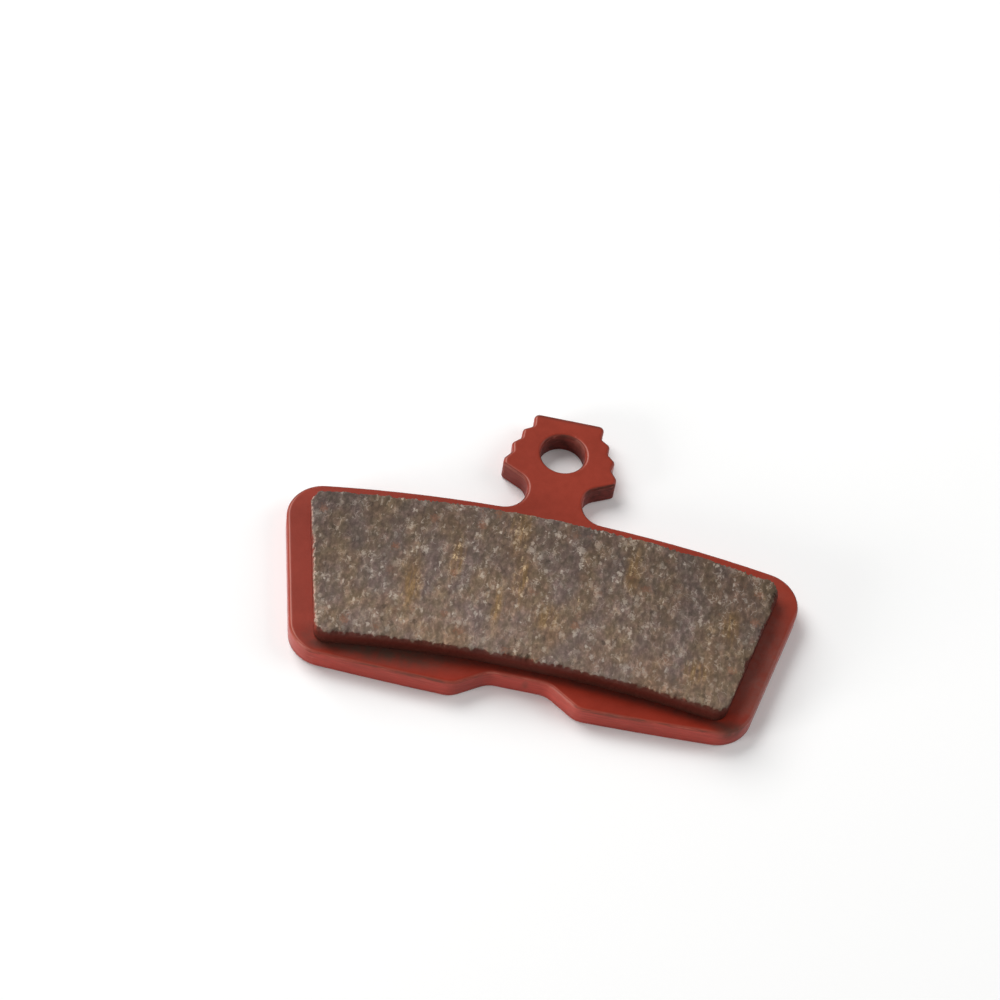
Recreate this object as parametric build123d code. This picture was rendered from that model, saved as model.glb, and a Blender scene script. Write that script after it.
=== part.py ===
"""Bicycle disc brake pad: a stamped steel backing plate with a block of friction compound bonded to it.

The pad lies on its back. The origin is the centre of the pin hole on the back face, +X runs along the
pad's length, +Y points to the tab and +Z points from the back face to the friction face.
Lengths are in mm, angles in degrees.
"""
from build123d import *
import math
import os

# Backing plate: sheet thickness and edges
plate_t = 2.0
plate_edge_r = 0.3        # rounded edge of the stamped front side, under the paint
plate_back_edge = 0.12    # broken edge of the back side, a bevel of 45 degrees

# Pin hole
pin_d = 3.5
pin_clearance = 0.2       # on the diameter
hole_rim_r = 0.3          # front rim, rounded like the front edge

# Tab head: a flat top, and on both flanks a row of teeth with its tips on a circle
tab_top_y = 3.6
tab_top_half = 2.95
tab_corner_r = 0.45
tooth_count = 3
tooth_first_x = 3.64      # topmost tip of the right flank
tooth_first_y = 1.78
tooth_first_angle = 28.4  # direction of that tip from the circle's centre, from +X
tooth_circle_r = 9.0
tooth_pitch = 1.7         # along the circle
tooth_depth = 0.4
tooth_tip_r = 0.4
tooth_root_r = 0.3
tab_heel_drop = 0.65      # from the last tip down to the heel of the head
tab_under_angle = 27.0    # slope of the head's underside

# Neck between the head and the shoulders
neck_half = 2.3
neck_top_r = 1.5
neck_low_r = 2.0
neck_flat = 0.1           # least straight wall left between the two roundings

# Plate body: a bowed top, leaning sides and a nearly straight lower edge
plate_top_y = -6.22
plate_top_bow_r = 110.0
plate_bottom_y = -23.85
plate_bottom_bow_r = 316.0
side_half = 19.1          # half of the length, at side_at_y
side_at_y = -17.8
side_lean = 13.2
plate_corner_r = 3.0

# Notch in the lower edge
notch_depth = 1.75
notch_floor_half = 2.3
notch_flank_angle = 34.0
notch_r = 2.0

# Friction block and the bare ledges of the plate around it
block_t = 1.75
block_edge_r = 0.12
block_corner_r = 1.1
block_top_bow_r = 100.0
block_low_bow_r = 104.0
ledge_top = 1.67          # above the block, on the axis
ledge_notch = 0.7         # between the block and the notch, on the axis
ledge_side = 1.85         # at each end, square to the side

# Worked out from the sizes above
hole_d = pin_d + pin_clearance
notch_floor_y = plate_bottom_y + notch_depth
block_top_y = plate_top_y - ledge_top
block_low_y = notch_floor_y + ledge_notch
side_slope = math.tan(math.radians(side_lean))
plate_side_x = side_half - side_slope * side_at_y
block_side_x = plate_side_x - ledge_side / math.cos(math.radians(side_lean))


def on_bow(x, y0, radius):
    """Point at x of an arc that has its crown on the Y axis at y0; a negative radius bows downwards."""
    rise = math.sqrt(radius ** 2 - x ** 2) - abs(radius)
    return (x, y0 + math.copysign(1, radius) * rise)


def side_meets_bow(side_x, y0, radius):
    """Point where the leaning side x = side_x + side_slope * y meets an arc given as in on_bow."""
    centre = y0 - radius
    a = 1 + side_slope ** 2
    b = side_slope * side_x - centre
    c = side_x ** 2 + centre ** 2 - radius ** 2
    y = (-b + math.copysign(1, radius) * math.sqrt(b ** 2 - a * c)) / a
    return (side_x + side_slope * y, y)


def on_flank(depth, steps):
    """Point of the right flank, at a depth below its circle of tips and some steps on from the topmost tip."""
    first = math.radians(tooth_first_angle)
    turn = first - steps * tooth_pitch / tooth_circle_r
    radius = tooth_circle_r - depth
    x = tooth_first_x - tooth_circle_r * math.cos(first) + radius * math.cos(turn)
    y = tooth_first_y - tooth_circle_r * math.sin(first) + radius * math.sin(turn)
    return (x, y)


def mirrored(point):
    return (-point[0], point[1])


def corners(outline, points):
    """Vertices of an outline that lie at the given points or at their mirror images."""
    wanted = list(points) + [mirrored(p) for p in points]
    return [
        v for v in outline.vertices()
        if any(math.hypot(v.X - p[0], v.Y - p[1]) < 1e-4 for p in wanted)
    ]


# Corner points of the plate's right half, from the top of the tab downwards
tab_corner = (tab_top_half, tab_top_y)
tips = [on_flank(0, i) for i in range(tooth_count)]
roots = [on_flank(tooth_depth, i - 0.5) for i in range(tooth_count)]
heel = (tips[-1][0], tips[-1][1] - tab_heel_drop)
armpit = (neck_half, heel[1] - (heel[0] - neck_half) * math.tan(math.radians(tab_under_angle)))
shoulder = on_bow(neck_half, plate_top_y, plate_top_bow_r)
armpit_run = neck_top_r * math.tan(math.radians(90 - tab_under_angle) / 2)
shoulder_r = min(neck_low_r, armpit[1] - shoulder[1] - armpit_run - neck_flat)
top_corner = side_meets_bow(plate_side_x, plate_top_y, plate_top_bow_r)
low_corner = side_meets_bow(plate_side_x, plate_bottom_y, -plate_bottom_bow_r)
notch_run = notch_depth / math.tan(math.radians(notch_flank_angle))
notch_mouth = on_bow(notch_floor_half + notch_run, plate_bottom_y, -plate_bottom_bow_r)
notch_end = (notch_floor_half, notch_floor_y)
top_middle = on_bow((shoulder[0] + top_corner[0]) / 2, plate_top_y, plate_top_bow_r)
low_middle = on_bow((low_corner[0] + notch_mouth[0]) / 2, plate_bottom_y, -plate_bottom_bow_r)

flank = [tab_corner]
for root, tip in zip(roots, tips):
    flank += [root, tip]
flank += [heel, armpit, shoulder]

# Backing plate
with BuildSketch() as plate_outline:
    with BuildLine():
        for half in (tuple, mirrored):
            Polyline(*[half(p) for p in flank])
            ThreePointArc(half(shoulder), half(top_middle), half(top_corner))
            Line(half(top_corner), half(low_corner))
            ThreePointArc(half(low_corner), half(low_middle), half(notch_mouth))
            Line(half(notch_mouth), half(notch_end))
        Line(tab_corner, mirrored(tab_corner))
        Line(notch_end, mirrored(notch_end))
    make_face()
    fillet(corners(plate_outline, [top_corner, low_corner]), plate_corner_r)
    fillet(corners(plate_outline, [armpit]), neck_top_r)
    fillet(corners(plate_outline, [shoulder]), shoulder_r)
    fillet(corners(plate_outline, [notch_end, notch_mouth]), notch_r)
    fillet(corners(plate_outline, [tab_corner]), tab_corner_r)
    fillet(corners(plate_outline, roots), tooth_root_r)
    fillet(corners(plate_outline, tips + [heel]), tooth_tip_r)

with BuildPart() as plate:
    add(plate_outline.sketch)
    extrude(amount=plate_t)
    fillet(plate.faces().sort_by(Axis.Z)[-1].outer_wire().edges(), plate_edge_r)
    chamfer(plate.faces().sort_by(Axis.Z)[0].outer_wire().edges(), plate_back_edge)
    with Locations((0, 0, plate_t)):
        Hole(hole_d / 2)
    bore = plate.faces().filter_by(GeomType.CYLINDER).sort_by_distance((0, 0, plate_t / 2))[0]
    rims = bore.edges().filter_by(GeomType.CIRCLE).sort_by(Axis.Z)
    fillet(rims[-1], hole_rim_r)
    chamfer(plate.edges().filter_by(GeomType.CIRCLE).sort_by_distance((0, 0, 0))[0], plate_back_edge)

# Friction block
block_top_corner = side_meets_bow(block_side_x, block_top_y, block_top_bow_r)
block_low_corner = side_meets_bow(block_side_x, block_low_y, block_low_bow_r)

with BuildSketch(Plane.XY.offset(plate_t)) as block_outline:
    with BuildLine():
        ThreePointArc(block_top_corner, (0, block_top_y), mirrored(block_top_corner))
        ThreePointArc(block_low_corner, (0, block_low_y), mirrored(block_low_corner))
        for half in (tuple, mirrored):
            Line(half(block_top_corner), half(block_low_corner))
    make_face()
    fillet(corners(block_outline, [block_top_corner, block_low_corner]), block_corner_r)

with BuildPart() as block:
    add(block_outline.sketch)
    extrude(amount=block_t)
    fillet(block.faces().sort_by(Axis.Z)[-1].outer_wire().edges(), block_edge_r)

os.makedirs("parts", exist_ok=True)
export_step(plate.part, "parts/backing_plate.step")
export_step(block.part, "parts/friction_block.step")
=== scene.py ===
from math import pi

import bpy
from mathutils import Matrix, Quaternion, Vector, noise
from mathutils.bvhtree import BVHTree


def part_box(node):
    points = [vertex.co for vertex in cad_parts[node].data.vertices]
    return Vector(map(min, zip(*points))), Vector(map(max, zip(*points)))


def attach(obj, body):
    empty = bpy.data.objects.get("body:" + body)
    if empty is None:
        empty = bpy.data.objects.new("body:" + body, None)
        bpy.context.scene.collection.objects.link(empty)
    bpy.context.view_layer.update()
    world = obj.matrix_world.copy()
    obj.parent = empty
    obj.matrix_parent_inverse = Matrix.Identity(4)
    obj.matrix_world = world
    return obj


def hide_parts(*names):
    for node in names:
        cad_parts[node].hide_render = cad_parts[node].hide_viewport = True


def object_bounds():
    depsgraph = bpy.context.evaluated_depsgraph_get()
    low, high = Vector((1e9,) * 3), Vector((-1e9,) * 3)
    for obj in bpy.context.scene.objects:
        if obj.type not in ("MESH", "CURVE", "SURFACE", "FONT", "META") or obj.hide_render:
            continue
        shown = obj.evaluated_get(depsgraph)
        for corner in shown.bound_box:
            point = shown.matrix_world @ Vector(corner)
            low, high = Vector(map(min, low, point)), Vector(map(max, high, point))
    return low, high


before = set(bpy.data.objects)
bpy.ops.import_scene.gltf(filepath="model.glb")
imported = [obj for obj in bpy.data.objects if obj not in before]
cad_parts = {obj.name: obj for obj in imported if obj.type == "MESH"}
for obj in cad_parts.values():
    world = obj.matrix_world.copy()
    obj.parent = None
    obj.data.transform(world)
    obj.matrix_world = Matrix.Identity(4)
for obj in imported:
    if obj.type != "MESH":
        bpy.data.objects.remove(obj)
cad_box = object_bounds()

bl_info = {
    "name": "Disc brake pad",
    "version": (1, 0, 0),
    "blender": (4, 5, 0),
    "location": "View3D > Sidebar > Brake pad",
    "description": "Builds the painted plate and ground block of a disc brake pad, and their stage",
    "category": "Object",
}

MM = 0.001
BODY = "root"
plate_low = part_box("backing_plate")[0]
block_low, block_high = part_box("friction_block")
FACE_Z = block_high.z / MM
FOOT_Z = block_low.z / MM

# Marks and painted shade on the plate in mm: spots by centre and half size, and pairs of places where a mask
# starts and is full
SMUDGES_AND_SHADE = (                           # with their strength
    ((17.0, -23.0, 1.7), (2.4, 1.1, 1.2), 0.75), ((-8.8, -23.7, 1.75), (2.4, 0.5, 0.3), 0.6),
    ((7.5, -23.7, 1.75), (1.6, 0.5, 0.3), 0.6), ((0.6, -22.1, 1.1), (0.4, 0.4, 0.8), 0.6),
    # The last spot, on the front-left ledge at the block's foot, is dirt and painted shade
    ((-4.2, -23.8, 1.8), (1.1, 0.4, 0.3), 0.6), ((-11.0, -22.0, 2.0), (9.0, 1.9, 1.2), 0.92),
)
# Dust and painted reflection haze: a greyer film on the shaded right ledge
DUSTY_HAZY_LEDGE = ((18.3, -16.5, 2.0), (3.0, 10.0, 1.5))
PIN_HOLE = ((0.0, 0.0, 1.0), (2.0, 2.0, 99.0))
# Painted shade deep in the pin hole, lighter on its lit right side
PIN_HOLE_DARK_Z = (1.85, 1.2)
PIN_HOLE_RIGHT_X = (0.6, 1.7)
# Painted shade under the tab's head, darker towards the right
HEAD_UNDERSIDE_Y = (-4.6, -3.6)
HEAD_SIDES_X = (-3.0, 3.0)
TAB_TOP_Y = (3.05, 3.45)
# Painted shade along the plate's foot, next to the floor
PLATE_FOOT_Z = (0.7, 0.0)
FRONT_LEDGE_Y = (-20.8, -21.8)

# Painted shade: a dark line along the foot of the block's bowed front wall, in mm
BOW_CENTRE = (0.0, -125.4, 0.0)
BOW_RADIUS = 104.0
CREASE_FRONT = (0.85, 0.1)            # distance in front of the wall
CREASE_BACK = (-0.4, 0.0)
CREASE_LEFT_X = (-17.2, -15.5)
CREASE_RIGHT_X = (17.0, 15.5)

# Marks on the friction face in mm
BRASS_STREAKS = (                     # centre and half size
    ((-9.4, -16.4), (1.1, 3.6)), ((-6.4, -13.5), (0.9, 2.9)), ((-2.0, -9.6), (1.5, 2.8)),
    ((-1.1, -14.0), (0.9, 3.8)), ((-2.6, -17.0), (0.6, 2.4)), ((1.4, -17.2), (1.2, 1.8)),
    ((7.4, -11.2), (1.0, 2.8)), ((15.6, -14.6), (1.0, 2.4)), ((13.6, -19.4), (1.5, 1.4)),
)
STREAK_DEPTH = 9.0                    # half size along Z, more than the block's height
# Painted light: the face is lighter towards its front edge and darker towards its ends
FACE_LIGHT_TONES = (                        # axis, two places along it, and the tone at each
    ("Y", -8.0, -22.0, 0.81, 1.24), ("X", -18.0, -7.0, 0.85, 1.03),
    ("X", -2.0, 4.0, 1.0, 0.91), ("X", 8.0, 18.0, 1.0, 0.87),
)
UMBER_X = (-12.0, -4.0)
FLECKS_FADE_X = (2.0, 12.0)
BRASS_FADES_X = (4.0, 11.0)
FACE_COLOURS = ("Cool", "Warm", "Umber", "Olive", "Fleck", "Brass", "Rust", "Pit")

# Broken upper edge of the block, in mm: insets from its wall and depths below its face
CHIPS = (                             # centre on the edge, half length and depth
    ((19.1, -11.2), 1.7, 0.26), ((0.2, -21.4), 0.8, 0.34), ((-3.4, -21.5), 0.7, 0.3),
    ((-14.0, -22.3), 0.9, 0.3), ((9.3, -21.8), 0.9, 0.26), ((12.4, -22.1), 0.6, 0.22),
    ((-7.8, -21.7), 0.5, 0.22), ((17.2, -17.6), 0.8, 0.2),
)
EDGE_NOISES = ((0.5, 1.5, 0.0), (0.45, 3.3, 4.0), (0.5, 6.1, 9.0))  # strength, waves in a mm, layer
EDGE_INSET = 0.55                     # the face follows the broken edge as far in as this
EDGE_DEPTH = 0.5                      # the worn rim sinks down to here
CHIP_BREAKS = (0.17, 0.24)            # a break this deep has lost its paint
CHIP_DEPTHS = (0.2, 0.4)
TONGUE_WAVES = 3.1                    # tongues of bare compound in a mm along the edge
THIN_SPRAY_DEPTH = 0.9                # the overspray starts thin, down to here
CRUMB_INSETS = (0.05, 0.35)
CRUMB_DEPTHS = (0.1, 0.62)

# Limits of modelling
MERGE = 0.0005                        # mm, between points of the CAD mesh that are one
FLAT = 0.9999                         # least upright part of the normal of a flat face
PLATE_SMOOTH = 0.6                    # radians, sharpest angle that is shaded smooth
BLOCK_SMOOTH = 1.2

# Floor and camera
WHITE_FLOOR = (80.0, 260.0)           # mm from the origin, where the floor starts to whiten and is white
FLOOR_LIFT = 0.07                     # light added nearer than that, and in reflections
NEAR_CLIP = 0.01                      # m from the camera


# Sizes and colours that a user would change
def colour_property(name, description, default):
    """A linear colour for a property group."""
    return bpy.props.FloatVectorProperty(
        name=name, description=description, default=default, subtype="COLOR", size=3, min=0.0, max=1.0)


def length_property(name, description, default):
    """A length in metres for a property group."""
    return bpy.props.FloatProperty(
        name=name, description=description, default=default, unit="LENGTH", min=0.0, precision=6)


def share_property(name, description, default):
    """A share from 0 to 1 for a property group."""
    return bpy.props.FloatProperty(
        name=name, description=description, default=default, subtype="FACTOR", min=0.0, max=1.0)


def place_property(name, description, default):
    """A point in metres for a property group."""
    return bpy.props.FloatVectorProperty(
        name=name, description=description, default=default, subtype="TRANSLATION", size=3, precision=6)


def direction_property(name, description, default):
    """A direction for a property group."""
    return bpy.props.FloatVectorProperty(
        name=name, description=description, default=default, subtype="DIRECTION", size=3, precision=3)


def level_property(name, description, default):
    """A level of light for a property group, at which 1 shows a white floor as white."""
    return bpy.props.FloatProperty(name=name, description=description, default=default, min=0.0)


class PlateFinish(bpy.types.PropertyGroup):
    """Finish of the painted backing plate"""
    paint: colour_property("Paint", "Red paint of the plate's faces", (0.284, 0.039, 0.022))
    lit_wall_paint: colour_property("Wall paint", "Brighter paint of the edge walls, as painted light", (0.345, 0.046, 0.033))
    thin_paint_and_shade: colour_property("Thin paint", "Paint drawn thin over an edge, and painted shade", (0.062, 0.018, 0.013))
    front_ledge_red: colour_property("Front ledge red", "Deeper red of the front ledge", (0.275, 0.024, 0.011))
    rubbed: colour_property("Rubbed paint", "Paler paint of a rubbed edge", (0.33, 0.068, 0.048))
    chalky_highlight: colour_property("Chalky paint", "Palest paint: rubbed left edge, and painted highlight", (0.45, 0.150, 0.110))
    soil_and_shade: colour_property("Soil", "Dirt rubbed into scuffs, and painted shade at the block's foot", (0.080, 0.043, 0.030))
    dust_and_haze: colour_property("Dust", "Dust of the compound on the plate, and painted reflection haze", (0.19, 0.145, 0.125))
    roughness: share_property("Roughness", "Roughness of the dry paint", 0.31)
    specular: share_property("Specular", "Strength of the paint's gloss", 0.15)
    peel: length_property("Orange peel", "Depth of the paint's fine waviness", 0.004 * MM)
    support: length_property("Support ring", "Flat ring that holds the rounded edge", 0.05 * MM)


class BlockFinish(bpy.types.PropertyGroup):
    """Finish of the ground friction block"""
    cool: colour_property("Purplish matrix", "Purplish grey of the compound", (0.160, 0.116, 0.098))
    warm: colour_property("Brownish matrix", "Olive brown of the compound", (0.174, 0.118, 0.079))
    umber: colour_property("Umber matrix", "Warmest brown, in patches", (0.192, 0.113, 0.070))
    olive: colour_property("Brassy streak", "Compound that is rich in fine brass", (0.190, 0.116, 0.054))
    fleck: colour_property("Fleck", "Pale mineral and fibre flecks", (0.42, 0.36, 0.31))
    brass: colour_property("Brass", "Chips of brass in the compound", (0.64, 0.46, 0.27))
    rust: colour_property("Rust", "Rusty spots", (0.25, 0.10, 0.055))
    pit: colour_property("Pit", "Dark pores and pits", (0.050, 0.036, 0.028))
    foot_shade: colour_property("Wall foot", "Painted shade at the foot of the side walls", (0.042, 0.015, 0.010))
    overspray: colour_property("Overspray", "Thin paint on the block's side walls", (0.080, 0.0115, 0.0068))
    lit_left_spray: colour_property("Left overspray", "Brighter paint of the lit left wall, as painted light", (0.19, 0.030, 0.019))
    crumb_and_highlight: colour_property("Crumb", "Freshly broken crumbs at the upper edge, with a painted highlight on the left", (0.55, 0.365, 0.295))
    specular: share_property("Specular", "Strength of the compound's gloss", 0.09)
    fine_grain: length_property("Fine grain", "Depth of the ground face's fine grain", 0.03 * MM)
    step: length_property("Mesh step", "Edge length of the block's mesh", 0.1 * MM)
    ragged: length_property("Ragged edge", "Depth of the small breaks along the upper edge", 0.24 * MM)
    grain_depth: length_property("Grain depth", "Roughness of the moulded side walls", 0.05 * MM)
    pit_depth: length_property("Pit depth", "Depth of the pores in the ground face", 0.05 * MM)


class StageSettings(bpy.types.PropertyGroup):
    """Floor, light and camera"""
    floor: colour_property("Floor", "Colour of the floor", (0.94, 0.94, 0.935))
    floor_size: length_property("Floor size", "Side of the square floor", 2.0)
    sky: level_property("Sky", "Level of the even light from all round", 0.2)
    key_from: direction_property(
        "Key lamp direction", "Where the key lamp stands, seen from the pad", (-0.55, 0.45, 0.70))
    key_away: length_property("Key lamp distance", "Distance of the key lamp", 0.6)
    key_size: length_property("Key lamp size", "Side of the key lamp", 0.42)
    key_level: level_property("Key level", "Brightness that the key lamp gives a white floor", 0.65)
    fill_from: direction_property(
        "Fill lamp direction", "Where the fill lamp stands, seen from the pad", (-0.77, -0.61, 0.19))
    fill_away: length_property("Fill lamp distance", "Distance of the fill lamp", 0.6)
    fill_size: length_property("Fill lamp size", "Side of the fill lamp", 0.24)
    fill_level: level_property("Fill level", "Brightness that the fill lamp gives a white floor", 0.12)
    side_from: direction_property(
        "Side lamp direction", "Where the side lamp stands, seen from the pad", (0.80, 0.20, 0.55))
    side_away: length_property("Side lamp distance", "Distance of the side lamp", 0.6)
    side_size: length_property("Side lamp size", "Side of the side lamp", 0.4)
    side_level: level_property("Side level", "Brightness that the side lamp gives a white floor", 0.17)
    camera_place: place_property("Camera place", "Where the camera stands", (-0.000138, -0.138184, 0.183654))
    camera_aim: place_property("Camera aim", "Point in the middle of the picture", (-0.00432, -0.0044, 0.0))
    camera_roll: bpy.props.FloatProperty(
        name="Camera roll", description="Turn of the camera about its view", default=0.17213, subtype="ANGLE")
    lens: bpy.props.FloatProperty(
        name="Lens", description="Focal length of the camera", default=100.55, unit="CAMERA", min=1.0)


# Modelling helpers
def select_only(piece):
    """Leaves one object selected and active."""
    bpy.ops.object.select_all(action="DESELECT")
    piece.select_set(True)
    bpy.context.view_layer.objects.active = piece


def rescale(piece, factor):
    """Scales a mesh about the origin and keeps its object unscaled."""
    piece.scale = (factor, factor, factor)
    bpy.ops.object.transform_apply(location=False, rotation=False, scale=True)


def working_copy(node, name):
    """A merged copy of a CAD node's mesh as a new object, in millimetres while it is being modelled."""
    piece = bpy.data.objects.new(name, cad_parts[node].data.copy())
    piece.data.name = name
    piece.data.materials.clear()
    bpy.context.scene.collection.objects.link(piece)
    select_only(piece)
    rescale(piece, 1 / MM)
    bpy.ops.mesh.customdata_custom_splitnormals_clear()
    bpy.ops.object.mode_set(mode="EDIT")
    bpy.ops.mesh.select_all(action="SELECT")
    bpy.ops.mesh.remove_doubles(threshold=MERGE)
    bpy.ops.object.mode_set(mode="OBJECT")
    return piece


def select_faces(piece, wanted):
    """Enters edit mode with only the faces selected that the test accepts."""
    select_only(piece)
    bpy.ops.object.mode_set(mode="EDIT")
    bpy.ops.mesh.select_mode(type="FACE")
    bpy.ops.mesh.select_all(action="DESELECT")
    bpy.ops.object.mode_set(mode="OBJECT")
    for face in piece.data.polygons:
        face.select = wanted(face)
    bpy.ops.object.mode_set(mode="EDIT")


def apply_modifier(piece, kind, **settings):
    """Adds a modifier to the active piece and applies it at once."""
    bpy.ops.object.modifier_add(type=kind)
    made = piece.modifiers[-1]
    for name, value in settings.items():
        setattr(made, name, value)
    bpy.ops.object.modifier_apply(modifier=made.name)


def weigh(piece, name, weights):
    """A vertex group with one weight for each vertex."""
    group = piece.vertex_groups.new(name=name)
    for index, weight in enumerate(weights):
        if weight > 0:
            group.add([index], min(weight, 1.0), "REPLACE")


def keep_values(piece, name, values):
    """Stores one number for each vertex for the materials to read."""
    attribute = piece.data.attributes.new(name, "FLOAT", "POINT")
    attribute.data.foreach_set("value", values)


def cloud_texture(name, size, depth, stops):
    """A noise for a Displace modifier, with stops (place, level) that shape it."""
    texture = bpy.data.textures.new(name, "CLOUDS")
    texture.noise_scale = size
    texture.noise_depth = depth
    texture.use_color_ramp = True
    ramp = texture.color_ramp
    for element, (place, level) in zip(ramp.elements, stops):
        element.position = place
        element.color = (level, level, level, 1.0)
    return texture


def smooth(value, low, high):
    """A smooth step from 0 at low to 1 at high."""
    share = min(max((value - low) / (high - low), 0.0), 1.0)
    return share * share * (3 - 2 * share)


def carve(piece, texture, depth, group):
    """Moves the surface inwards by up to depth where the texture is dark."""
    apply_modifier(
        piece, "DISPLACE", texture=texture, texture_coords="LOCAL", direction="NORMAL",
        strength=depth, mid_level=1.0, vertex_group=group)


def finish_piece(piece, node, material):
    """Brings a piece back to metres and ties it to the frame."""
    select_only(piece)
    rescale(piece, MM)
    piece.vertex_groups.clear()
    piece.data.materials.append(material)
    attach(piece, BODY)
    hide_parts(node)


# Shader helpers
class Net:
    """Short ways to add nodes to one node tree. An input takes a socket to link or a plain value."""

    def __init__(self, tree):
        self.tree = tree

    def feed(self, socket, value):
        if isinstance(value, bpy.types.NodeSocket):
            self.tree.links.new(value, socket)
        elif socket.type == "RGBA" and len(value) == 3:
            socket.default_value = (*value, 1.0)
        else:
            socket.default_value = value

    def add(self, kind, inputs=None, **settings):
        made = self.tree.nodes.new(kind)
        for name, value in settings.items():
            setattr(made, name, value)
        for name, value in (inputs or {}).items():
            self.feed(made.inputs[name], value)
        return made

    def millimetres(self):
        """Object coordinates in millimetres."""
        place = self.add("ShaderNodeTexCoord").outputs["Object"]
        return self.add("ShaderNodeMapping", {"Vector": place, "Scale": (1 / MM,) * 3}).outputs["Vector"]

    def moved(self, vector, shift=(0.0, 0.0, 0.0), stretch=(1.0, 1.0, 1.0)):
        """Coordinates for a pattern that is shifted, and stretched along the axes."""
        scale = tuple(1 / s for s in stretch)
        made = self.add("ShaderNodeMapping", {"Vector": vector, "Location": shift, "Scale": scale})
        return made.outputs["Vector"]

    def vector(self, operation, a, b):
        """A vector worked out from two others."""
        return self.add("ShaderNodeVectorMath", {0: a, 1: b}, operation=operation).outputs["Vector"]

    def length(self, vector):
        return self.add("ShaderNodeVectorMath", {0: vector}, operation="LENGTH").outputs["Value"]

    def split(self, vector):
        """The X, Y and Z of a vector."""
        return self.add("ShaderNodeSeparateXYZ", {"Vector": vector}).outputs

    def facing(self):
        """The X, Y and Z of the surface's normal in Object coordinates."""
        return self.split(self.add("ShaderNodeTexCoord").outputs["Normal"])

    def bent(self, vector, scale, reach):
        """Coordinates that wander by up to reach, so that a pattern on them loses its straight lines."""
        drift = self.add("ShaderNodeTexNoise", {"Vector": vector, "Scale": scale, "Detail": 1.0})
        away = self.vector("MULTIPLY", drift.outputs["Color"], (reach, reach, reach))
        return self.vector("ADD", vector, away)

    def spot(self, vector, centre, size, soft=0.8):
        """A round or oval mask about a point, soft over a share of its size."""
        scaled = self.vector("DIVIDE", self.vector("SUBTRACT", vector, centre), size)
        return self.step(self.length(scaled), 1.0, 1.0 - soft)

    def noise(self, vector, scale, detail=2.0, roughness=0.5):
        made = self.add("ShaderNodeTexNoise", {
            "Vector": vector, "Scale": scale, "Detail": detail, "Roughness": roughness})
        return made.outputs["Fac"]

    def step(self, value, low, high, to_low=0.0, to_high=1.0):
        """A smooth step between two values."""
        made = self.add("ShaderNodeMapRange", {
            "Value": value, "From Min": low, "From Max": high, "To Min": to_low, "To Max": to_high},
            interpolation_type="SMOOTHSTEP")
        return made.outputs["Result"]

    def bright_tail(self, value, floor, gain):
        """A level about 1 that stays near a floor for most of a noise and rises steeply at its peaks."""
        above = self.maths("MAXIMUM", self.maths("SUBTRACT", value, 0.3), 0.0)
        return self.maths("MULTIPLY_ADD", self.maths("MULTIPLY", above, above), gain, floor)

    def grains(self, vector, scale, share, size, ragged):
        """A mask of scattered grains: one of a given size, in cells, in some share of the cells."""
        cells = self.add("ShaderNodeTexVoronoi", {"Vector": vector, "Scale": scale}).outputs
        pick = self.add("ShaderNodeSeparateColor", {"Color": cells["Color"]}).outputs
        held = self.maths("LESS_THAN", pick["Red"], share)
        body = self.step(self.maths("ADD", cells["Distance"], ragged), size, 0.5 * size)
        return self.product(held, body, self.step(pick["Green"], 0.0, 1.0, 0.3, 1.0))

    def maths(self, operation, a, b=0.0, c=0.0):
        made = self.add("ShaderNodeMath", {0: a, 1: b, 2: c}, operation=operation)
        return made.outputs["Value"]

    def mix(self, factor, a, b, blend="MIX"):
        made = self.add("ShaderNodeMix", data_type="RGBA", blend_type=blend)
        for number, value in ((0, factor), (6, a), (7, b)):
            self.feed(made.inputs[number], value)
        return made.outputs[2]

    def product(self, *values):
        """All values multiplied."""
        result = values[0]
        for value in values[1:]:
            result = self.maths("MULTIPLY", result, value)
        return result

    def largest(self, *values):
        """The largest of all values."""
        result = values[0]
        for value in values[1:]:
            result = self.maths("MAXIMUM", result, value)
        return result

    def grey(self, value):
        made = self.add("ShaderNodeCombineColor", {"Red": value, "Green": value, "Blue": value})
        return made.outputs["Color"]

    def attribute(self, name):
        return self.add("ShaderNodeAttribute", attribute_name=name).outputs["Fac"]


def new_group(name, inputs, outputs):
    """An empty shader group with named sockets, and the Net, input sockets and output node to fill it."""
    tree = bpy.data.node_groups.new(name, "ShaderNodeTree")
    for socket, kind, default in inputs:
        made = tree.interface.new_socket(socket, in_out="INPUT", socket_type=kind)
        made.default_value = default
    for socket, kind in outputs:
        tree.interface.new_socket(socket, in_out="OUTPUT", socket_type=kind)
    net = Net(tree)
    return net, net.add("NodeGroupInput").outputs, net.add("NodeGroupOutput")


def use_group(net, name, inputs=None):
    return net.add("ShaderNodeGroup", inputs, node_tree=bpy.data.node_groups[name]).outputs


def blank_material(name):
    """A material with no nodes, and its Net."""
    material = bpy.data.materials.new(name)
    material.use_nodes = True
    material.node_tree.nodes.clear()
    return material, Net(material.node_tree)


def new_material(name):
    """A material with nothing but a Principled shader, its Net and that shader."""
    material, net = blank_material(name)
    shader = net.add("ShaderNodeBsdfPrincipled")
    net.add("ShaderNodeOutputMaterial", {"Surface": shader.outputs["BSDF"]})
    return material, net, shader


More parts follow.
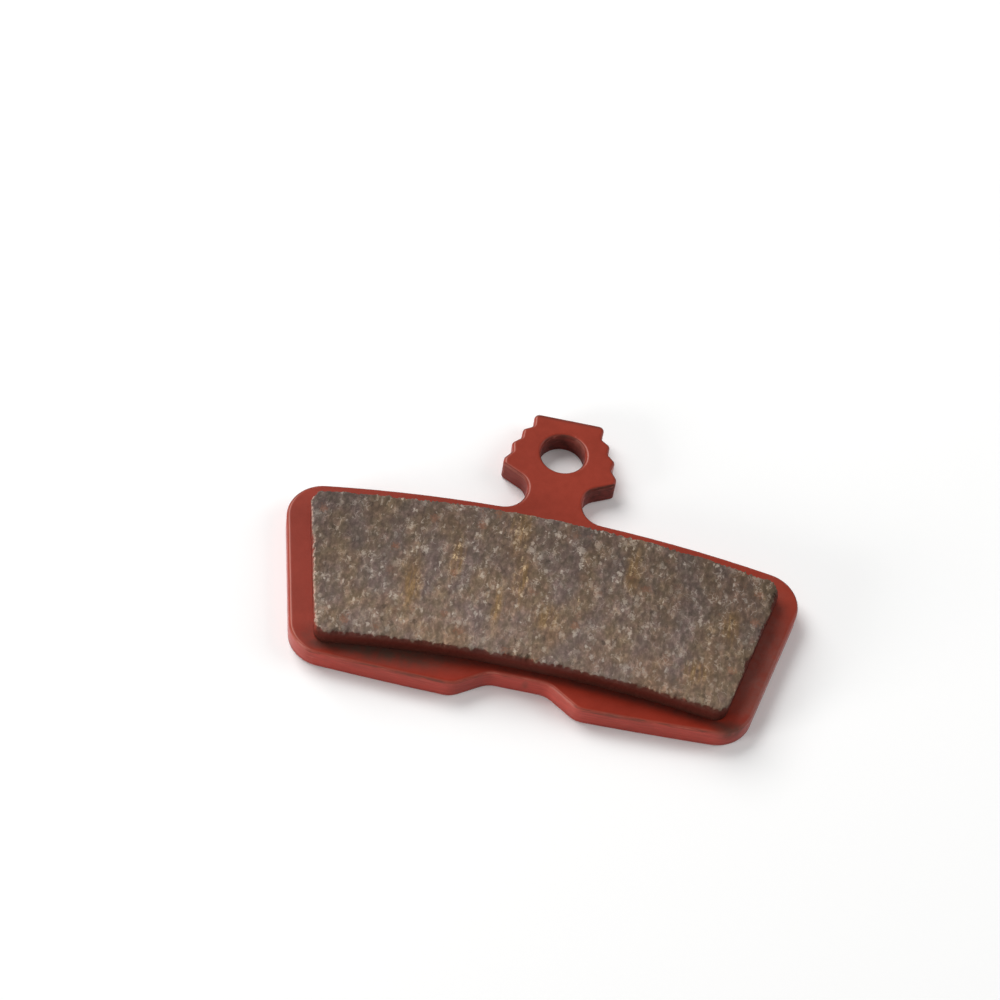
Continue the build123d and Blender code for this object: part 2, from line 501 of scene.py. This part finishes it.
def paint_coat_group():
    """Sprayed paint: cloudy colour, a darker colour where the wear and shade mask is high, for thin paint and
    for painted shade, and a fine orange peel.
    """
    if "paint_coat" in bpy.data.node_groups:
        return
    net, given, out = new_group(
        "paint_coat",
        [("Paint", "NodeSocketColor", (0.3, 0.03, 0.02, 1)),
         ("Shade and thin", "NodeSocketColor", (0.08, 0.02, 0.015, 1)),
         ("Wear and shade", "NodeSocketFloat", 0.0)],
        [("Color", "NodeSocketColor"), ("Height", "NodeSocketFloat"), ("Gloss loss", "NodeSocketFloat")])
    place = net.millimetres()
    cloud = net.noise(place, 0.16, 3.0, 0.6)
    mottle = net.noise(place, 1.7, 3.0, 0.6)
    speck = net.noise(place, 9.0, 2.0, 0.6)
    tone = net.product(
        net.step(cloud, 0.3, 0.7, 0.93, 1.07),
        net.step(mottle, 0.25, 0.75, 0.95, 1.05),
        net.step(speck, 0.25, 0.75, 0.96, 1.04))
    coat = net.mix(1.0, given["Paint"], net.grey(tone), "MULTIPLY")
    # The darker colour stands for thin paint and for painted shade
    broken = net.product(given["Wear and shade"], net.step(mottle, 0.35, 0.65, 0.75, 1.1))
    net.feed(out.inputs["Color"], net.mix(broken, coat, given["Shade and thin"]))
    peel = net.noise(place, 4.5, 2.0, 0.5)
    net.feed(out.inputs["Height"], net.maths("MULTIPLY_ADD", speck, 0.25, peel))
    uneven = net.step(mottle, 0.3, 0.7, -0.015, 0.015)
    net.feed(out.inputs["Gloss loss"], net.maths("MULTIPLY_ADD", broken, 0.25, uneven))


def front_foot_shade(net, place, where):
    """A mask of painted shade: the dark line along the foot of the block's bowed front wall."""
    level = net.vector("MULTIPLY", net.vector("SUBTRACT", place, BOW_CENTRE), (1.0, 1.0, 0.0))
    gap = net.maths("SUBTRACT", BOW_RADIUS, net.length(level))
    ends = net.product(net.step(where["X"], *CREASE_LEFT_X), net.step(where["X"], *CREASE_RIGHT_X))
    return net.product(net.step(gap, *CREASE_FRONT), net.step(gap, *CREASE_BACK), ends, 0.72)


def thin_paint_and_shade_mask(net, place, where, parts, on_edge):
    """Where the paint is thin or darkened: thin paint on back edges and the tab's top edge, and painted shade
    in the pin hole, under the head, at the plate's foot and at the foot of the block's front wall.
    """
    back_edges = net.product(on_edge, net.step(parts["Y"], -0.1, 0.5, 0.0, 0.85))
    # Painted shade: deep in the pin hole, under the head, and along the feet of the plate and the block
    in_hole = net.product(
        net.spot(place, *PIN_HOLE, 0.1),
        net.step(where["Z"], *PIN_HOLE_DARK_Z, 0.2, 0.85),
        net.step(where["X"], *PIN_HOLE_RIGHT_X, 1.0, 0.7))
    under_head = net.product(
        net.step(parts["Y"], -0.15, -0.45),
        net.step(where["Y"], *HEAD_UNDERSIDE_Y),
        net.step(parts["Z"], 0.97, 0.75),
        net.step(where["X"], *HEAD_SIDES_X, 0.45, 0.75))
    on_top_edge = net.step(where["Y"], *TAB_TOP_Y, 0.0, 0.6)
    at_foot = net.step(where["Z"], *PLATE_FOOT_Z, 0.0, 0.3)
    return net.largest(back_edges, in_hole, on_top_edge, at_foot, under_head, front_foot_shade(net, place, where))


def plate_paint(net, settings, place, where, parts, on_edge):
    """Colour of the sound paint: faces, edge walls brightened as painted light, a deeper red front ledge,
    rubbed edges, and left-facing edges paled by rubbing and a painted highlight.
    """
    drawn = net.noise(net.moved(place, (0.0, 0.0, 5.0), (2.6, 2.6, 0.22)), 1.0, 2.0, 0.6)
    # Painted light: the edge walls get a brighter red than the faces
    wall = net.mix(1.0, settings.lit_wall_paint, net.grey(net.step(drawn, 0.3, 0.7, 0.9, 1.1)), "MULTIPLY")
    paint = net.mix(net.step(parts["Z"], 0.6, 0.1), settings.paint, wall)
    # Deeper, more saturated red on the front ledge beside the block
    front_ledge_red = net.product(net.step(where["Y"], *FRONT_LEDGE_Y), net.step(parts["Z"], 0.9, 0.99), 0.75)
    paint = net.mix(front_ledge_red, paint, settings.front_ledge_red)
    rubbed = net.product(
        on_edge, net.step(parts["Y"], 0.3, -0.1), net.step(parts["X"], -0.2, -0.6, 0.8, 0.2))
    paint = net.mix(rubbed, paint, settings.rubbed)
    # Painted highlight, with rubbed paint: a pale line along the upper rounding of left-facing edges
    brow = net.product(net.step(parts["Z"], 0.82, 0.92), net.step(parts["Z"], 0.998, 0.98))
    chalked_highlight = net.product(brow, net.step(parts["X"], -0.08, -0.3), net.step(parts["Y"], 0.3, 0.0), 0.75)
    return net.mix(chalked_highlight, paint, settings.chalky_highlight)


def painted_steel(settings):
    """Red paint over the stamped plate: drawn thin over its edges and scuffed along the lower edge, with
    painted shade in the pin hole, under the head and at its foot, and a painted highlight on left-facing
    edges.
    """
    paint_coat_group()
    material, net, shader = new_material("painted_steel")
    place = net.millimetres()
    where = net.split(place)
    parts = net.facing()
    on_edge = net.product(net.step(parts["Z"], 0.12, 0.4), net.step(parts["Z"], 0.96, 0.75))
    coat = use_group(net, "paint_coat", {
        "Paint": plate_paint(net, settings, place, where, parts, on_edge),
        "Shade and thin": settings.thin_paint_and_shade,
        "Wear and shade": thin_paint_and_shade_mask(net, place, where, parts, on_edge)})

    streaks = net.noise(net.moved(place, (3.0, 0.0, 0.0), (1.9, 0.6, 0.15)), 1.0, 3.0, 0.6)
    band = net.product(
        net.step(parts["Y"], -0.25, -0.6), net.step(parts["Z"], -0.05, 0.15), net.step(parts["Z"], 0.93, 0.6))
    # Pale streaks on the front walls: scuffs, and a painted highlight where the walls turn to the left
    turned_left = net.step(parts["X"], -0.25, -0.45)
    line = net.product(band, net.step(streaks, 0.47, 0.62), net.step(turned_left, 1.0, 0.0), 0.62)
    worn_and_lit = net.largest(
        net.product(band, net.step(streaks, 0.46, 0.34), 0.5),
        net.product(band, turned_left, net.step(streaks, 0.3, 0.6, 0.6, 0.3)))
    blurred = net.noise(place, 1.4, 3.0, 0.65)
    blotchy = net.step(blurred, 0.35, 0.65, 0.55, 1.0)
    # Scuff lines and dirt spots, with painted shade in the front-left spot at the block's foot
    marks = [net.product(net.spot(place, centre, size), blotchy, amount) for centre, size, amount in SMUDGES_AND_SHADE]
    dirt_and_shade = net.largest(line, *marks)
    # Dust and painted reflection haze on the right ledge beside the block
    dusty_and_hazy = net.product(net.spot(place, *DUSTY_HAZY_LEDGE), net.step(blurred, 0.3, 0.7, 0.15, 0.36))
    colour = net.mix(worn_and_lit, net.mix(dusty_and_hazy, coat["Color"], settings.dust_and_haze), settings.chalky_highlight)
    net.feed(shader.inputs["Base Color"], net.mix(dirt_and_shade, colour, settings.soil_and_shade))
    gloss_loss = net.maths("MULTIPLY_ADD", dirt_and_shade, 0.3, coat["Gloss loss"])
    net.feed(shader.inputs["Roughness"], net.maths("ADD", gloss_loss, settings.roughness))
    shader.inputs["Specular IOR Level"].default_value = settings.specular
    bump = net.add("ShaderNodeBump", {"Height": coat["Height"], "Distance": settings.peel, "Strength": 1.0})
    net.feed(shader.inputs["Normal"], bump.outputs["Normal"])
    return material


def friction_compound_group():
    """Ground friction compound: a mottled matrix with fibres, flecks and pores, and brass in streaks."""
    if "friction_compound" in bpy.data.node_groups:
        return
    net, given, out = new_group(
        "friction_compound",
        [(name, "NodeSocketColor", (0.2, 0.2, 0.2, 1)) for name in FACE_COLOURS],
        [("Color", "NodeSocketColor"), ("Metal", "NodeSocketFloat"), ("Height", "NodeSocketFloat")])
    place = net.millimetres()
    bent = net.bent(place, 2.5, 0.3)
    where = net.split(place)

    hue = net.noise(net.moved(bent, (0.0, 5.0, 0.0), (1.0, 1.7, 1.0)), 0.45, 2.0, 0.45)
    warmth = net.step(net.maths("MULTIPLY_ADD", where["X"], 0.0015, hue), 0.33, 0.67)
    colour = net.mix(warmth, given["Cool"], given["Warm"])
    tint = net.noise(net.moved(place, (0.0, 0.0, 17.0), (1.0, 1.4, 1.0)), 1.6, 2.0, 0.5)
    tint = net.mix(net.step(tint, 0.35, 0.65), (1.0, 0.96, 0.99), (0.975, 1.0, 0.96))
    colour = net.mix(1.0, colour, tint, "MULTIPLY")
    scratch = net.noise(net.moved(place, (0.0, 0.0, 3.0), (1.0, 8.0, 1.0)), 3.2, 2.0, 0.6)
    zone = net.largest(*[
        net.spot(bent, (*centre, FACE_Z), (*size, STREAK_DEPTH)) for centre, size in BRASS_STREAKS])
    glow = net.noise(net.moved(bent, (3.0, 0.0, 0.0), (1.0, 1.6, 1.0)), 0.34, 2.0, 0.5)
    glow = net.product(net.step(glow, 0.48, 0.66), net.step(where["X"], *UMBER_X), 0.5)
    colour = net.mix(net.largest(glow, net.product(zone, 0.55)), colour, given["Umber"])
    colour = net.mix(net.product(zone, net.step(scratch, 0.36, 0.62), 0.9), colour, given["Olive"])

    grain = net.noise(net.moved(bent, (0.0, 0.0, 11.0), (1.0, 1.9, 1.0)), 3.4, 3.0, 0.6)
    clump = net.noise(net.moved(bent, (7.0, 0.0, 0.0), (1.0, 1.7, 1.0)), 1.3, 2.0, 0.5)
    # Tone of grain and clumps, and painted light across the face
    tone = net.product(
        net.bright_tail(grain, 0.75, 4.8),
        net.bright_tail(clump, 0.86, 2.9),
        net.step(scratch, 0.30, 0.70, 0.93, 1.07),
        *[net.step(where[axis], *places_and_tones) for axis, *places_and_tones in FACE_LIGHT_TONES])
    colour = net.mix(1.0, colour, net.grey(tone), "MULTIPLY")

    long = net.moved(bent, (0.0, 0.0, 0.0), (1.0, 1.7, 1.0))
    ragged = net.maths("MULTIPLY_ADD", net.noise(bent, 7.0, 2.0, 0.6), 1.1, -0.55)
    pale = net.largest(
        net.product(net.grains(long, 3.4, 0.19, 0.5, ragged), 0.9),
        net.product(net.grains(long, 1.9, 0.16, 0.46, ragged), 0.85),
        net.product(net.grains(bent, 1.0, 0.12, 0.40, ragged), 0.75))
    pale = net.product(
        pale, net.step(clump, 0.38, 0.58, 0.35, 1.0), net.step(where["X"], *FLECKS_FADE_X, 1.0, 0.7))
    strand = net.noise(net.moved(bent, (0.0, 0.0, 29.0), (1.0, 1.7, 1.0)), 2.2, 1.0, 0.5)
    ridge = net.maths("ABSOLUTE", net.maths("MULTIPLY_ADD", strand, 2.0, -1.0))
    fibres = net.product(net.step(ridge, 0.06, 0.01), net.step(clump, 0.46, 0.6), 0.42)
    golden = net.largest(net.product(zone, 0.65), net.product(warmth, 0.25))
    fleck = net.mix(golden, given["Fleck"], given["Brass"])
    colour = net.mix(net.largest(fibres, pale), colour, fleck)
    pores = net.product(net.grains(net.moved(long, (4.0, 7.0, 0.0)), 2.4, 0.16, 0.44, ragged), 0.55)
    colour = net.mix(pores, colour, given["Pit"])
    spots = net.grains(net.moved(bent, (9.0, 2.0, 0.0)), 0.8, 0.18, 0.36, ragged)
    colour = net.mix(net.product(spots, 0.45), colour, given["Rust"])
    metal = net.grains(net.moved(place, (2.0, 0.0, 0.0), (1.0, 2.6, 1.0)), 2.8, 0.45, 0.36, ragged)
    metal = net.product(
        metal, net.largest(zone, net.step(clump, 0.70, 0.73)), net.step(where["X"], *BRASS_FADES_X, 1.0, 0.3))
    colour = net.mix(net.product(metal, 0.8), colour, given["Brass"])

    height = net.maths("ADD", net.product(grain, 0.9), net.product(scratch, 0.5))
    height = net.maths("SUBTRACT", height, net.product(pores, 0.8))
    net.feed(out.inputs["Color"], colour)
    net.feed(out.inputs["Metal"], metal)
    net.feed(out.inputs["Height"], height)


def ground_compound(settings):
    """Ground friction face, broken upper edge, and side walls under a thin overspray of paint, with painted
    shade low on the walls and painted light on the left wall and its crumbs.
    """
    paint_coat_group()
    friction_compound_group()
    material, net, shader = new_material("ground_compound")
    face = use_group(net, "friction_compound", {
        name: getattr(settings, name.lower()) for name in FACE_COLOURS})
    # Painted shade: the side walls darken from their upper part towards the foot
    low = net.step(net.attribute("up"), 0.7, 0.0, 0.0, 0.7)
    # Painted light: walls that face left get a brighter overspray
    leftward = net.step(net.facing()["X"], -0.5, -0.9)
    spray = use_group(net, "paint_coat", {
        "Paint": net.mix(leftward, settings.overspray, settings.lit_left_spray),
        "Shade and thin": settings.foot_shade, "Wear and shade": low})
    bare = net.attribute("bare")
    colour = net.mix(bare, spray["Color"], face["Color"])
    place = net.millimetres()
    # Pale crumbs with a painted highlight along the rim of the left wall
    torn = net.maths("MULTIPLY_ADD", net.attribute("crumb_and_highlight"), 0.75, net.noise(place, 4.0, 3.0, 0.6))
    dots = net.noise(net.moved(place, (0.0, 0.0, 8.0)), 3.0, 2.0, 0.5)
    broken = net.product(net.step(torn, 0.93, 1.2), net.step(dots, 0.42, 0.58, 0.08, 1.0))
    lit_crumb_colour = net.mix(0.65, face["Color"], settings.crumb_and_highlight)
    net.feed(shader.inputs["Base Color"], net.mix(broken, colour, lit_crumb_colour))
    metal = net.product(face["Metal"], bare, 0.5)
    net.feed(shader.inputs["Metallic"], metal)
    net.feed(shader.inputs["Roughness"], net.step(metal, 0.0, 0.5, 0.65, 0.4))
    shader.inputs["Specular IOR Level"].default_value = settings.specular
    bump = net.add("ShaderNodeBump", {
        "Height": face["Height"], "Distance": settings.fine_grain, "Strength": 0.7})
    net.feed(shader.inputs["Normal"], bump.outputs["Normal"])
    return material


# Pieces
class PAD_OT_painted_plate(bpy.types.Operator):
    """Builds the painted backing plate with smooth rounded edges"""
    bl_idname = "pad.painted_plate"
    bl_label = "Painted plate"

    def execute(self, context):
        settings = context.scene.pad_plate
        piece = working_copy("backing_plate", "painted_plate")
        select_faces(piece, lambda face: abs(face.normal.z) > FLAT)
        ring = settings.support / MM
        bpy.ops.mesh.inset(thickness=ring, depth=0.0, use_boundary=True, use_even_offset=True)
        bpy.ops.object.mode_set(mode="OBJECT")
        bpy.ops.object.shade_smooth_by_angle(angle=PLATE_SMOOTH)
        finish_piece(piece, "backing_plate", painted_steel(settings))
        return {"FINISHED"}


def remesh_block(piece, skin):
    """Even faces of one size all over the block, with its flat underside as one face."""
    select_only(piece)
    apply_modifier(piece, "REMESH", mode="VOXEL", voxel_size=skin)
    select_faces(piece, lambda face: face.normal.z < -0.9)
    bpy.ops.mesh.dissolve_faces()
    bpy.ops.object.mode_set(mode="OBJECT")


def roughen_block(piece, near, heights, settings):
    """Grain on the moulded walls, and pores in the ground face."""
    skin = settings.step / MM
    weigh(piece, "wall", [
        1.0 if found[3] < skin and z < FACE_Z - 2 * skin else 0.0 for found, z in zip(near, heights)])
    weigh(piece, "face", [1.0 if z > FACE_Z - skin / 2 else 0.0 for z in heights])
    moulded = cloud_texture("moulded", 0.3, 3, ((0.2, 0.0), (0.8, 1.0)))
    pores = cloud_texture("pores", 0.28, 1, ((0.24, 0.0), (0.34, 1.0)))
    carve(piece, moulded, settings.grain_depth / MM, "wall")
    carve(piece, pores, settings.pit_depth / MM, "face")


def edge_break(wall, depth, ragged):
    """How far the wall is broken inwards and its rim is worn down, at a place on the wall and a depth."""
    place = Vector((wall.x, wall.y, 0.0))
    fine = 0.4
    for strength, waves, layer in EDGE_NOISES:
        fine += strength * noise.noise(place * waves + Vector((0.0, 0.0, layer)))
    fine = min(max(fine, 0.0), 1.2)
    rough = smooth(noise.noise(place * 0.45 + Vector((0.0, 3.0, 7.0))), -0.35, 0.45)
    broken = 0.0
    for centre, half, chip in CHIPS:
        away = (place - Vector((*centre, 0.0))).length
        broken = max(broken, chip * (1 - smooth(away / half, 0.3, 1.0)))
    inward = ragged * fine * (0.3 + rough) * (1 - smooth(depth, 0.1, 0.5))
    inward += broken * (0.5 + 0.6 * fine) * (1 - smooth(depth, 0.1, 0.8))
    drop = 0.05 * fine * (0.3 + rough) + 0.2 * broken
    return inward, drop


def bare_share(wall, depth, inward):
    """How far the compound shows through the overspray: in tongues below the edge, and in chips."""
    along = Vector((TONGUE_WAVES * wall.x + 5.0, TONGUE_WAVES * wall.y, 0.0))
    tongue = smooth(noise.noise(along), -0.3, 0.6) ** 2
    clear = 1 - smooth(depth, 0.02 + 0.15 * tongue, 0.14 + 0.45 * tongue)
    chipped = smooth(inward, *CHIP_BREAKS) * (1 - smooth(depth, *CHIP_DEPTHS))
    thin = 0.2 * (1 - smooth(depth, 0.0, THIN_SPRAY_DEPTH))
    return max(clear, chipped, thin)


def break_block(piece, near, heights, settings):
    """Breaks the upper edge, and keeps what the material needs: height, bare compound, and fresh crumbs with
    a painted highlight where the wall faces left.
    """
    up, bare, crumb_and_highlight = [], [], []
    for vertex, (wall, outward, _, inset), height in zip(piece.data.vertices, near, heights):
        depth = FACE_Z - height
        inward, drop = edge_break(wall, depth, settings.ragged / MM)
        hold = 1 - smooth(inset, 0.0, EDGE_INSET)
        vertex.co -= outward * inward * hold
        vertex.co.z -= drop * hold * (1 - smooth(depth, 0.0, EDGE_DEPTH))
        up.append((height - FOOT_Z) / (FACE_Z - FOOT_Z))
        bare.append(bare_share(wall, depth, inward))
        # Crumbs at the rim, kept only where the wall faces left: crumbs and a painted highlight
        rim = (1 - smooth(inset, *CRUMB_INSETS)) * (1 - smooth(depth, *CRUMB_DEPTHS))
        crumb_and_highlight.append(rim * max(-outward.x, 0.0))
    keep_values(piece, "up", up)
    keep_values(piece, "bare", bare)
    keep_values(piece, "crumb_and_highlight", crumb_and_highlight)


class PAD_OT_ground_block(bpy.types.Operator):
    """Builds the friction block with its ground face, broken upper edge and rough side walls"""
    bl_idname = "pad.ground_block"
    bl_label = "Ground block"

    def execute(self, context):
        settings = context.scene.pad_block
        piece = working_copy("friction_block", "ground_block")
        shape = piece.data
        walls = BVHTree.FromPolygons(
            [v.co.copy() for v in shape.vertices],
            [tuple(p.vertices) for p in shape.polygons if abs(p.normal.z) < 0.5])
        remesh_block(piece, settings.step / MM)
        middle = (FACE_Z + FOOT_Z) / 2
        near = [walls.find_nearest((v.co.x, v.co.y, middle)) for v in piece.data.vertices]
        heights = [v.co.z for v in piece.data.vertices]
        roughen_block(piece, near, heights, settings)
        break_block(piece, near, heights, settings)
        bpy.ops.object.shade_smooth_by_angle(angle=BLOCK_SMOOTH)
        finish_piece(piece, "friction_block", ground_compound(settings))
        return {"FINISHED"}


# Stage
def pale_floor(settings):
    """White floor that takes shadow, and shows as white to the camera."""
    material, net = blank_material("pale_floor")
    matt = net.add("ShaderNodeBsdfDiffuse", {"Color": settings.floor})
    white = net.add("ShaderNodeEmission", {"Color": (1.0, 1.0, 1.0)})
    ray = net.add("ShaderNodeLightPath").outputs
    away = net.length(net.millimetres())
    seen = net.product(ray["Is Camera Ray"], net.step(away, *WHITE_FLOOR, FLOOR_LIFT, 1.0))
    net.feed(white.inputs["Strength"], net.maths("MULTIPLY_ADD", ray["Is Glossy Ray"], FLOOR_LIFT, seen))
    both = net.add("ShaderNodeAddShader", {0: matt.outputs["BSDF"], 1: white.outputs["Emission"]})
    net.add("ShaderNodeOutputMaterial", {"Surface": both.outputs["Shader"]})
    return material


def lamp(name, direction, away, size, level):
    """A square lamp that faces the pad and gives a white floor there the wanted level."""
    aim = (cad_box[0] + cad_box[1]) / 2
    towards = Vector(direction).normalized()
    light = bpy.data.lights.new(name, "AREA")
    light.size = size
    light.energy = level * (pi * away) ** 2 / towards.z
    made = bpy.data.objects.new(name, light)
    made.location = aim + towards * away
    made.rotation_euler = (-towards).to_track_quat("-Z", "Y").to_euler()
    bpy.context.scene.collection.objects.link(made)


class PAD_OT_stage(bpy.types.Operator):
    """Lays the floor and sets the light and the camera"""
    bl_idname = "pad.stage"
    bl_label = "Stage"

    def execute(self, context):
        settings = context.scene.pad_stage
        scene = context.scene
        bpy.ops.object.select_all(action="DESELECT")
        bpy.ops.mesh.primitive_plane_add(size=settings.floor_size, location=(0, 0, plate_low.z))
        floor = context.active_object
        floor.name = "floor"
        floor.data.materials.append(pale_floor(settings))

        world = bpy.data.worlds.new("even_sky")
        world.use_nodes = True
        sky = world.node_tree.nodes["Background"]
        sky.inputs["Color"].default_value = (1.0, 1.0, 1.0, 1.0)
        sky.inputs["Strength"].default_value = settings.sky
        scene.world = world

        lamp("key_lamp", settings.key_from, settings.key_away, settings.key_size, settings.key_level)
        lamp("fill_lamp", settings.fill_from, settings.fill_away, settings.fill_size, settings.fill_level)
        lamp("side_lamp", settings.side_from, settings.side_away, settings.side_size, settings.side_level)

        lens = bpy.data.cameras.new("photo_view")
        lens.lens = settings.lens
        lens.clip_start = NEAR_CLIP
        camera = bpy.data.objects.new("photo_view", lens)
        view = Vector(settings.camera_aim) - Vector(settings.camera_place)
        turn = view.to_track_quat("-Z", "Y") @ Quaternion((0, 0, 1), settings.camera_roll)
        camera.location = settings.camera_place
        camera.rotation_euler = turn.to_euler()
        scene.collection.objects.link(camera)
        scene.camera = camera
        scene.view_settings.view_transform = "Standard"
        return {"FINISHED"}


class PAD_PT_sidebar(bpy.types.Panel):
    """Lists the pieces of the brake pad and their settings"""
    bl_label = "Brake pad"
    bl_idname = "PAD_PT_sidebar"
    bl_space_type = "VIEW_3D"
    bl_region_type = "UI"
    bl_category = "Brake pad"

    def draw(self, context):
        for operator, group in STEPS:
            box = self.layout.box()
            box.operator(operator)
            settings = getattr(context.scene, group)
            for name in settings.bl_rna.properties.keys():
                if name not in ("rna_type", "name"):
                    box.prop(settings, name)


STEPS = (("pad.painted_plate", "pad_plate"), ("pad.ground_block", "pad_block"), ("pad.stage", "pad_stage"))
GROUPS = {"pad_plate": PlateFinish, "pad_block": BlockFinish, "pad_stage": StageSettings}
CLASSES = (*GROUPS.values(), PAD_OT_painted_plate, PAD_OT_ground_block, PAD_OT_stage, PAD_PT_sidebar)


def register():
    for made in CLASSES:
        bpy.utils.register_class(made)
    for name, group in GROUPS.items():
        setattr(bpy.types.Scene, name, bpy.props.PointerProperty(type=group))


def unregister():
    for name in GROUPS:
        delattr(bpy.types.Scene, name)
    for made in reversed(CLASSES):
        bpy.utils.unregister_class(made)


def main():
    register()
    bpy.ops.pad.painted_plate()
    bpy.ops.pad.ground_block()
    bpy.ops.pad.stage()


if __name__ == "__main__":
    main()
